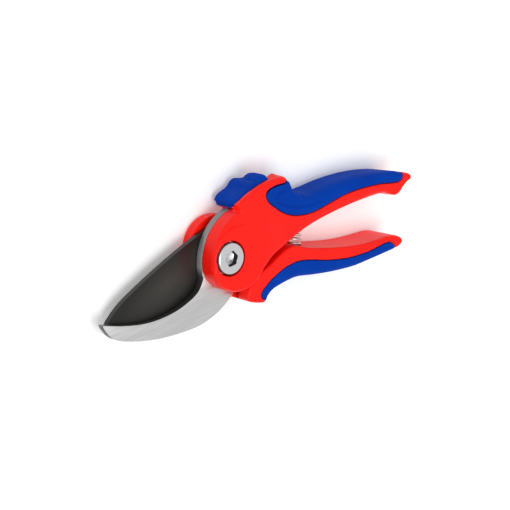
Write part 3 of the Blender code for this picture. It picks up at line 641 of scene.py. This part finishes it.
def bevelled(obj, width, segments=3, angle=35):
    """Breaks the sharp edges of a machined or stamped piece."""
    bevel = obj.modifiers.new("bevel", "BEVEL")
    bevel.width = width * MM
    bevel.segments = segments
    bevel.limit_method = "ANGLE"
    bevel.angle_limit = math.radians(angle)
    applied(obj)
    return shade(obj, CRISP_ANGLE)


def points_of(obj):
    """The object's vertices as an array, in millimetres."""
    found = np.empty(len(obj.data.vertices) * 3)
    obj.data.vertices.foreach_get("co", found)
    return found.reshape(-1, 3) / MM


def move_points(obj, points):
    obj.data.vertices.foreach_set("co", (points * MM).ravel())
    obj.data.update()


def normals_of(obj):
    found = np.empty(len(obj.data.vertices) * 3)
    obj.data.vertex_normals.foreach_get("vector", found)
    return found.reshape(-1, 3)


def to_line(points, line):
    """Each point's distance in plan to a line of (x, y) points, and the share of its length there."""
    line = np.array([(x, y) for x, y, *_ in line])
    spans = np.linalg.norm(np.diff(line, axis=0), axis=1)
    before = np.concatenate([[0], np.cumsum(spans)])
    nearest = np.full(len(points), 1e9)
    share = np.zeros(len(points))
    for start, end, length, done in zip(line, line[1:], spans, before):
        along = np.clip(((points[:, :2] - start) @ (end - start)) / length**2, 0, 1)
        gap = np.linalg.norm(points[:, :2] - start - along[:, None] * (end - start), axis=1)
        closer = gap < nearest
        nearest[closer] = gap[closer]
        share[closer] = ((done + along * length) / before[-1])[closer]
    return nearest, share


def smooth_step(low, high, values):
    share = np.clip((values - low) / (high - low), 0, 1)
    return share * share * (3 - 2 * share)


# Pieces.


def place(obj, body, nodes, colour):
    """Stands obj in for the CAD nodes, on their body, with its material."""
    obj.data.materials.clear()
    obj.data.materials.append(colour)
    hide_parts(*nodes)
    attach(obj, body)
    return obj


def raise_boss(obj):
    """The boss round the pivot: a step along its upper left, which fades into the head elsewhere."""
    points = points_of(obj)
    across = points[:, :2] - np.array(NOSE_CENTRE)
    radius = np.linalg.norm(across, axis=1)
    angle = np.degrees(np.arctan2(across[:, 1], across[:, 0]))
    front = smooth_step(HEAD_TOP - 1.6, HEAD_TOP - 0.6, points[:, 2])
    shown = smooth_step(20, 75, angle)
    inside = 1 - smooth_step(BOSS_RADIUS - 0.5, BOSS_RADIUS + 0.35, radius)
    far = smooth_step(BOSS_RADIUS + 0.35, BOSS_RADIUS + 16, radius)
    level = BOSS_TOP - HEAD_TOP
    rise = level * (inside + (1 - inside) * (1 - shown) * (1 - far))
    points[:, 2] += front * rise
    move_points(obj, points)
    return obj


def make_upper_handle(red, blue):
    region = grip_region(UPPER_GRIP_EDGE, UPPER_GRIP_OUTSIDE)
    grip = soft_grip(upper_shell("fine_upper_grip"), grown(region, SEAM), UPPER_CORE, UPPER_DRAFT)
    cut(grip, *lock_room())
    body = hard_body(upper_shell("fine_upper_handle"), region, UPPER_CORE, UPPER_DRAFT)
    cut(body, head_room(), *lock_room())
    joined(body, rail(RAIL_START, RAIL_END[0], RAIL_LOW, RAIL_HIGH))
    joined(body, rail(RAIL_START, RAIL_ROOT_END, RAIL_HIGH - 0.4, RAIL_ROOT_HIGH))
    cut(body, cutter(grown(hook_outline(), GAP), HOOK_LOW - GAP, HOOK_TOP + GAP))
    cut(body, spring_pocket(), latch_slot())
    for place_at in HOOK_SCREWS:
        for target in (body, grip):
            cut(target, screw_hole(place_at, HOOK_TOP + 1))
    cut(body, *pivot_holes())
    moulded(body, HANDLE_VOXEL)
    moulded(grip, HANDLE_VOXEL)
    raise_boss(body)
    carve_grip(grip)
    place(body, "upper_handle", ["upper_handle"], red)
    place(grip, "upper_handle", ["upper_grip"], blue)


def carve_grip(grip):
    """The groove round the thumb pad of the upper grip, and the raised pad along its back."""
    points = points_of(grip)
    gap, share = to_line(points, through(PAD_GROOVE, closed=False))
    front = smooth_step(18, 20, points[:, 2])
    fade = smooth_step(0, 0.06, share) * (1 - smooth_step(0.7, 1, share))
    points[:, 2] -= GROOVE_DEPTH * front * fade * np.exp(-((gap / GROOVE_WIDTH) ** 2))
    normals = normals_of(grip)
    outer = smooth_step(0.1, 0.5, normals[:, 1])
    run = smooth_step(PAD_START, PAD_START + PAD_RAMP, points[:, 0])
    run *= 1 - smooth_step(PAD_END - PAD_RAMP, PAD_END, points[:, 0])
    points += (PAD_RISE * (run - 1) * outer)[:, None] * normals
    move_points(grip, points)


def make_lower_handle(red, blue):
    region = grip_region(LOWER_GRIP_EDGE, LOWER_GRIP_OUTSIDE)
    grip = lower_shell("fine_lower_grip")
    soft_grip(grip, grown(region, SEAM), LOWER_CORE, LOWER_DRAFT)
    body = lower_shell("fine_lower_handle")
    hard_body(body, region, LOWER_CORE, LOWER_DRAFT)
    nose = disc("cutter", NOSE_RADIUS + 0.5, BACK_HEAD_TOP, ABOVE, None, NOSE_CENTRE, 128, helper=True)
    swing = disc("cutter", HOOK_SWING_RADIUS, HOOK_LOW - GAP, FRONT_HEAD_LOW, count=192, helper=True)
    cut(body, nose, swing)
    joined(body, cut(back_head(), cutter(grown(region, GAP), BELOW, ABOVE)))
    cut(body, cutter(grown(blade_outline(), GAP), BACK_HEAD_TOP, BLADE_TOP + GAP))
    cut(body, nut_hole(), spring_pocket())
    for place_at in BLADE_SCREWS:
        for target in (body, grip):
            cut(target, screw_hole(place_at, BLADE_TOP + GAP))
    moulded(body, HANDLE_VOXEL)
    moulded(grip, HANDLE_VOXEL)
    place(body, "lower_handle", ["lower_handle"], red)
    place(grip, "lower_handle", ["lower_grip"], blue)


def make_blades(satin, coated):
    """The hook with broken edges, and the blade with its ground bevel."""
    hook = prism("fine_hook_blade", hook_outline(), HOOK_LOW, HOOK_TOP)
    cut(hook, disc("cutter", SLEEVE_OUTER + RUNNING_GAP, BELOW, ABOVE, helper=True))
    for place_at in HOOK_SCREWS:
        cut(hook, disc("cutter", SCREW_SHANK + GAP, BELOW, ABOVE, None, place_at, 48, helper=True))
    bevelled(hook, 0.18, 2)
    place(hook, "upper_handle", ["hook_blade"], satin)
    outline = blade_outline()
    ground = grown(outline, [-width for _, _, width in outline])
    edge_low = BLADE_TOP - 0.2
    rings = [
        [(x, y, z) for x, y, _ in ring]
        for ring, z in ((ground, BLADE_LOW), (outline, edge_low), (outline, BLADE_TOP))
    ]
    blade = stacked("fine_cutting_blade", rings)
    cut(blade, disc("cutter", SLEEVE_OUTER + RUNNING_GAP, BELOW, ABOVE, helper=True))
    for place_at in BLADE_SCREWS:
        cut(blade, disc("cutter", SCREW_SHANK + GAP, BELOW, ABOVE, None, place_at, 48, helper=True))
    shade(blade, CRISP_ANGLE)
    place(blade, "lower_handle", ["cutting_blade"], coated)


def make_bolt(chrome):
    """The bolt, with a rounded head, a shallow dish round its socket and a drilled cone below it."""
    top, low = BOLT_HEAD_TOP, BOLT_HEAD_LOW
    rounding, dish = 0.7, 0.12
    socket_radius, socket_floor = SOCKET_FLATS / 2, top - SOCKET_DEPTH
    profile = [(0, 0), (SHANK_RADIUS, 0), (SHANK_RADIUS, low), (BOLT_HEAD_RADIUS, low)]
    corner = arc((BOLT_HEAD_RADIUS - rounding, top - rounding), rounding, 0, 90, 8)
    profile += [(radius, z) for radius, z, _ in corner]
    profile += [(socket_radius + 1.2, top), (socket_radius + 0.5, top - dish), (0, top - dish)]
    bolt = turned("fine_pivot_bolt", profile, count=160)
    cut(bolt, cutter(hexagon(SOCKET_FLATS), socket_floor, ABOVE))
    cone = [(0, socket_floor - 1.2), (socket_radius - 0.2, socket_floor + 0.1), (0, socket_floor + 0.1)]
    cut(bolt, turned("cutter", cone, helper=True))
    bevelled(bolt, 0.1, 2, 40)
    place(bolt, "upper_handle", ["pivot_bolt"], chrome)


def make_spring(steel):
    """The return spring between the handles."""
    axis = (Vector(spring_point(1)) - Vector(spring_point(0))).normalized()
    up = Vector((0, 0, 1))
    side = axis.cross(up)
    total = SPRING_TURNS * SPRING_STEPS
    rings = []
    for i in range(total + 1):
        angle = 2 * math.pi * i / SPRING_STEPS
        along = SPRING_LENGTH * (i / total - 0.5)
        out = side * math.cos(angle) + up * math.sin(angle)
        middle = Vector(spring_point(along)) + out * COIL_RADIUS
        rings.append([
            middle + WIRE_RADIUS * (out * math.cos(a) + axis * math.sin(a))
            for a in (2 * math.pi * k / SPRING_SIDES for k in range(SPRING_SIDES))
        ])
    spring = shade(stacked("fine_return_spring", rings), 180)
    spring.data.materials.append(steel)
    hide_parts("return_spring")
    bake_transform(spring)


def make_lock(blue):
    """The slider: its block, the thumb piece on it, and the leg, lip and toe that hold it."""
    crown = through(LOCK_CROWN, closed=False)
    ends = [sloping(LOCK_FLOOR, 12.6, LOCK_STEP), sloping(LOCK_FLOOR, 36.4, LOCK_STEP)]
    slider = domed("fine_lock_slider", crown + ends, BLOCK_LEVELS)
    thumb = through(THUMB_CROWN, closed=False)
    thumb += [sloping(LOCK_FLOOR, 26.8, 1), sloping(LOCK_FLOOR, 36, 1)]
    leg = [
        sloping(LEG_FLOOR, 18.1, LOCK_STEP), sloping(LEG_FLOOR, 36.4, LOCK_STEP),
        sloping(LOCK_FLOOR, 36.4, 1), sloping(LOCK_FLOOR, 18.1, 1),
    ]
    lip = [
        sloping(LEG_FLOOR, 22.6, LOCK_STEP), sloping(LEG_FLOOR, 36.1, LOCK_STEP),
        sloping(RAIL_END, 36.1, -RAIL_DEPTH - LOCK_STEP),
        sloping(RAIL_END, 22.6, -RAIL_DEPTH - LOCK_STEP),
    ]
    toe = [(12.9, 20.7, 0), (15.6, 21.1, 0), (15.6, 24.2, 0), (12.9, 23.8, 0)]
    behind_toe = [(15, 21.6, 0), (18.8, 22.1, 0), (18.8, 24.6, 0), (15, 24, 0)]
    joined(
        slider,
        domed("thumb", thumb, THUMB_LEVELS),
        prism("leg", leg, LOCK_BACK + 0.2, LEG_TOP),
        prism("lip", lip, LEG_TOP - 1, HIGH_LIP),
        prism("toe", toe, LOCK_BACK + 0.4, TOE_TOP),
        prism("toe", behind_toe, LOCK_BACK + 0.3, LEG_TOP - 0.2),
    )
    moulded(slider, SLIDER_VOXEL, SLIDER_SOFTENING)
    place(slider, "lock", ["lock_slider"], blue)


# Materials.


def shader_material(name, colour, roughness, metallic=0.0, **inputs):
    made = bpy.data.materials.new(name)
    made.use_nodes = True
    tree = made.node_tree
    shader = tree.nodes["Principled BSDF"]
    shader.inputs["Base Color"].default_value = (*colour, 1)
    shader.inputs["Roughness"].default_value = roughness
    shader.inputs["Metallic"].default_value = metallic
    for label, value in inputs.items():
        shader.inputs[label].default_value = value
    return made, tree, shader


def noise(tree, scale, stretch=(1, 1, 1), detail=4.0):
    """A noise texture over the object's own coordinates."""
    where = tree.nodes.new("ShaderNodeTexCoord")
    mapping = tree.nodes.new("ShaderNodeMapping")
    mapping.inputs["Scale"].default_value = stretch
    texture = tree.nodes.new("ShaderNodeTexNoise")
    texture.inputs["Scale"].default_value = scale
    texture.inputs["Detail"].default_value = detail
    tree.links.new(where.outputs["Object"], mapping.inputs["Vector"])
    tree.links.new(mapping.outputs["Vector"], texture.inputs["Vector"])
    return texture.outputs["Fac"]


def ramp(tree, source, stops):
    """A colour ramp from (position, colour) stops."""
    made = tree.nodes.new("ShaderNodeValToRGB")
    elements = made.color_ramp.elements
    while len(elements) < len(stops):
        elements.new(0.5)
    for element, (position, colour) in zip(elements, stops):
        element.position = position
        element.color = (*colour, 1)
    tree.links.new(source, made.inputs["Fac"])
    return made.outputs["Color"]


def remapped(tree, source, span, values):
    """The source with span stretched to values."""
    made = tree.nodes.new("ShaderNodeMapRange")
    made.inputs["From Min"].default_value = span[0]
    made.inputs["From Max"].default_value = span[1]
    made.inputs["To Min"].default_value = values[0]
    made.inputs["To Max"].default_value = values[1]
    tree.links.new(source, made.inputs["Value"])
    return made.outputs["Result"]


def spread(tree, source, low, high):
    """The source's middle range as a value from low to high."""
    return remapped(tree, source, (0.3, 0.7), (low, high))


def bump(tree, shader, source, strength, distance):
    made = tree.nodes.new("ShaderNodeBump")
    made.inputs["Strength"].default_value = strength
    made.inputs["Distance"].default_value = distance * MM
    tree.links.new(source, made.inputs["Height"])
    tree.links.new(made.outputs["Normal"], shader.inputs["Normal"])


def plastic(name, dark, light, roughness, grain, depth, gloss=0.5):
    """A moulded plastic with a fine grain."""
    made, tree, shader = shader_material(name, light, roughness)
    shader.inputs["Specular IOR Level"].default_value = gloss
    tint = ramp(tree, noise(tree, 60), [(0.3, dark), (0.7, light)])
    tree.links.new(tint, shader.inputs["Base Color"])
    fine = noise(tree, grain, detail=2)
    tree.links.new(spread(tree, fine, roughness - 0.05, roughness + 0.05), shader.inputs["Roughness"])
    bump(tree, shader, fine, 0.25, depth)
    return made


def metal(name, dark, light, roughness, stretch, scale=260, depth=0.02):
    """A bare metal. Its marks are drawn out along the axis where stretch is smallest."""
    made, tree, shader = shader_material(name, light, roughness, 1.0)
    lines = noise(tree, scale, stretch, 6)
    tint = ramp(tree, lines, [(0.3, dark), (0.7, light)])
    tree.links.new(tint, shader.inputs["Base Color"])
    tree.links.new(spread(tree, lines, roughness - 0.05, roughness + 0.06), shader.inputs["Roughness"])
    bump(tree, shader, lines, 0.15, depth)
    return made


def make_materials():
    red, bright_red = (0.92, 0.007, 0.002), (0.98, 0.009, 0.003)
    blue, bright_blue = (0.001, 0.038, 0.33), (0.001, 0.046, 0.38)
    steel, bright_steel = (0.70, 0.70, 0.71), (0.80, 0.80, 0.81)
    white, bright_white = (0.80, 0.80, 0.77), (0.86, 0.86, 0.83)
    return {
        "red_shell": plastic("red_moulding", red, bright_red, 0.4, 2600, 0.02, 0.2),
        "blue_grip": plastic("blue_grip_moulding", blue, bright_blue, 0.6, 3200, 0.04, 0.03),
        "satin_steel": metal("satin_steel", steel, bright_steel, 0.34, (0.25, 4, 1)),
        "blade_coating": coating(),
        "hook_steel": stamped_steel(),
        "bolt_chrome": bolt_steel(),
        "nylon": plastic("nylon_moulding", white, bright_white, 0.5, 2400, 0.02),
    }


def stamped_steel():
    """The hook's satin steel. Its edge walls are painted with shade, darkest at the jaw."""
    made = metal("hook_steel", (0.66, 0.66, 0.66), (0.76, 0.76, 0.76), 0.36, (0.25, 4, 1))
    tree = made.node_tree
    shader = tree.nodes["Principled BSDF"]
    where = tree.nodes.new("ShaderNodeTexCoord")
    parts = tree.nodes.new("ShaderNodeSeparateXYZ")
    tree.links.new(where.outputs["Object"], parts.inputs["Vector"])
    along = remapped(tree, parts.outputs["Y"], (-0.012, 0.020), (0, 1))
    # Painted shade on the hook's edge walls: darkest at the jaw, lighter towards the top of the hook.
    greys = [(0, 0.05), (0.11, 0.07), (0.19, 0.14), (0.3, 0.42), (0.5, 0.38), (0.75, 0.24), (1, 0.2)]
    painted_edge_shade = ramp(tree, along, [(share, (grey, grey, grey)) for share, grey in greys])
    mix_by_facing(tree, shader, where, painted_edge_shade, 0.35)
    return made


def bolt_steel():
    """The bolt's bright face, with painted shade on its walls: a darker grey side and a near black socket.
    """
    made = metal("bolt_chrome", (0.76, 0.76, 0.78), (0.82, 0.82, 0.84), 0.2, (1, 1, 1), 900, 0.005)
    tree = made.node_tree
    shader = tree.nodes["Principled BSDF"]
    where = tree.nodes.new("ShaderNodeTexCoord")
    plan = tree.nodes.new("ShaderNodeMapping")
    plan.inputs["Scale"].default_value = (1, 1, 0)
    radius = tree.nodes.new("ShaderNodeVectorMath")
    radius.operation = "LENGTH"
    tree.links.new(where.outputs["Object"], plan.inputs["Vector"])
    tree.links.new(plan.outputs["Vector"], radius.inputs[0])
    outward = remapped(tree, radius.outputs["Value"], (0.0048, 0.0062), (0, 1))
    # Painted shade on the walls: the socket near black, the head's side a darker grey.
    painted_shade_tint = ramp(tree, outward, [(0.0, (0.06, 0.06, 0.06)), (1.0, (0.3, 0.3, 0.3))])
    mix_by_facing(tree, shader, where, painted_shade_tint, 0.5)
    return made


def mix_by_facing(tree, shader, where, painted_shade_tint, wall_metallic):
    """Faces turned up or down keep the shader's colour, and walls take the painted shade colour."""
    facing = tree.nodes.new("ShaderNodeSeparateXYZ")
    tree.links.new(where.outputs["Normal"], facing.inputs["Vector"])
    size = tree.nodes.new("ShaderNodeMath")
    size.operation = "ABSOLUTE"
    tree.links.new(facing.outputs["Z"], size.inputs[0])
    flat = remapped(tree, size.outputs["Value"], (0.3, 0.75), (0, 1))
    mix = tree.nodes.new("ShaderNodeMix")
    mix.data_type = "RGBA"
    face_tint = shader.inputs["Base Color"].links[0].from_socket
    factor, wall, face = (
        [socket for socket in mix.inputs if socket.name == label and socket.enabled][0]
        for label in ("Factor", "A", "B")
    )
    tree.links.new(flat, factor)
    tree.links.new(painted_shade_tint, wall)
    tree.links.new(face_tint, face)
    result = [socket for socket in mix.outputs if socket.enabled][0]
    tree.links.new(result, shader.inputs["Base Color"])
    tree.links.new(remapped(tree, flat, (0, 1), (wall_metallic, 1)), shader.inputs["Metallic"])


def coating():
    """The blade's dark non-stick coating, with a painted sheen that makes it a little paler and browner
    along its middle.
    """
    made, tree, shader = shader_material("blade_coating", (0.03, 0.03, 0.028), 0.38, 0.2)
    # A painted sheen: a spherical gradient makes the colour paler and browner along the blade's middle.
    where = tree.nodes.new("ShaderNodeTexCoord")
    mapping = tree.nodes.new("ShaderNodeMapping")
    mapping.vector_type = "TEXTURE"
    mapping.inputs["Location"].default_value = (-0.030, -0.004, 0.0086)
    mapping.inputs["Rotation"].default_value = (0, 0, math.radians(17))
    mapping.inputs["Scale"].default_value = (0.034, 0.0115, 1)
    painted_sheen_ball = tree.nodes.new("ShaderNodeTexGradient")
    painted_sheen_ball.gradient_type = "SPHERICAL"
    tree.links.new(where.outputs["Object"], mapping.inputs["Vector"])
    tree.links.new(mapping.outputs["Vector"], painted_sheen_ball.inputs["Vector"])
    dark, painted_sheen = (0.007, 0.007, 0.006), (0.034, 0.030, 0.025)
    tint = ramp(tree, painted_sheen_ball.outputs["Fac"], [(0.0, dark), (0.9, painted_sheen)])
    tree.links.new(tint, shader.inputs["Base Color"])
    fine = noise(tree, 1800, (0.6, 1.4, 1), 3)
    tree.links.new(spread(tree, fine, 0.34, 0.46), shader.inputs["Roughness"])
    bump(tree, shader, fine, 0.2, 0.01)
    return made


def finish_carried(materials):
    """Every CAD node still shown gets its slot's material and smooth shading."""
    slots = {part["node"]: part["material_slot"] for part in frame["record"]["subparts"]}
    for name, obj in frame["nodes"].items():
        if obj.hide_render:
            continue
        obj.data.materials.clear()
        obj.data.materials.append(materials[slots[name]])
        shade(obj, CRISP_ANGLE)


# Setting.


def make_camera():
    """A long lens high on the blade side, turned so that the handles run up to the right."""
    tilt, pitch, roll = (math.radians(a) for a in (CAMERA_TILT, CAMERA_PITCH, CAMERA_ROLL))
    across = Vector((
        math.cos(tilt) * math.cos(pitch), -math.cos(tilt) * math.sin(pitch), -math.sin(tilt),
    ))
    up = Vector((math.sin(pitch), math.cos(pitch), 0))
    out = Vector((
        math.sin(tilt) * math.cos(pitch), -math.sin(tilt) * math.sin(pitch), math.cos(tilt),
    ))
    turn = Matrix([
        across * math.cos(roll) + up * math.sin(roll),
        up * math.cos(roll) - across * math.sin(roll),
        out,
    ])
    data = bpy.data.cameras.new("camera")
    data.lens = CAMERA_LENS
    data.sensor_width = SENSOR_WIDTH
    camera = bpy.data.objects.new("camera", data)
    bpy.context.scene.collection.objects.link(camera)
    place_at = Vector((0, 0, BOSS_TOP * MM)) - turn @ Vector(PIVOT_IN_VIEW)
    camera.matrix_world = Matrix.Translation(place_at) @ turn.to_4x4()
    bpy.context.scene.camera = camera


def make_light(name, where, aim, size, power):
    """A round area light at where, turned to aim."""
    data = bpy.data.lights.new(name, "AREA")
    data.shape = "DISK"
    data.size = size
    data.energy = power
    light = bpy.data.objects.new(name, data)
    bpy.context.scene.collection.objects.link(light)
    light.location = where
    light.rotation_mode = "QUATERNION"
    light.rotation_quaternion = (Vector(aim) - Vector(where)).to_track_quat("-Z", "Y")


def make_setting():
    """A pale paper floor, an even white world and one soft key light."""
    floor_mesh = bmesh.new()
    bmesh.ops.create_grid(floor_mesh, x_segments=1, y_segments=1, size=FLOOR_HALF)
    floor = mesh_object("floor", floor_mesh)
    floor.location.z = -FLOOR_DROP * MM
    made, tree, shader = shader_material("floor_paper", (0.94, 0.94, 0.94), 0.9)
    shader.inputs["Emission Color"].default_value = (1, 1, 1, 1)
    shader.inputs["Emission Strength"].default_value = FLOOR_GLOW
    greys = [(0.3, (0.93, 0.93, 0.93)), (0.7, (0.95, 0.95, 0.95))]
    tree.links.new(ramp(tree, noise(tree, 40), greys), shader.inputs["Base Color"])
    floor.data.materials.append(made)
    world = bpy.data.worlds.new("studio")
    world.use_nodes = True
    background = world.node_tree.nodes["Background"]
    background.inputs["Color"].default_value = (1, 1, 1, 1)
    background.inputs["Strength"].default_value = WORLD_STRENGTH
    bpy.context.scene.world = world
    bpy.context.scene.view_settings.view_transform = "Standard"
    make_light("key", KEY_PLACE, (0, 0, 0), KEY_SIZE, KEY_POWER)


make_camera()
make_setting()
materials = make_materials()
make_upper_handle(materials["red_shell"], materials["blue_grip"])
make_lower_handle(materials["red_shell"], materials["blue_grip"])
make_blades(materials["hook_steel"], materials["blade_coating"])
make_bolt(materials["bolt_chrome"])
make_spring(materials["satin_steel"])
make_lock(materials["blue_grip"])
finish_carried(materials)
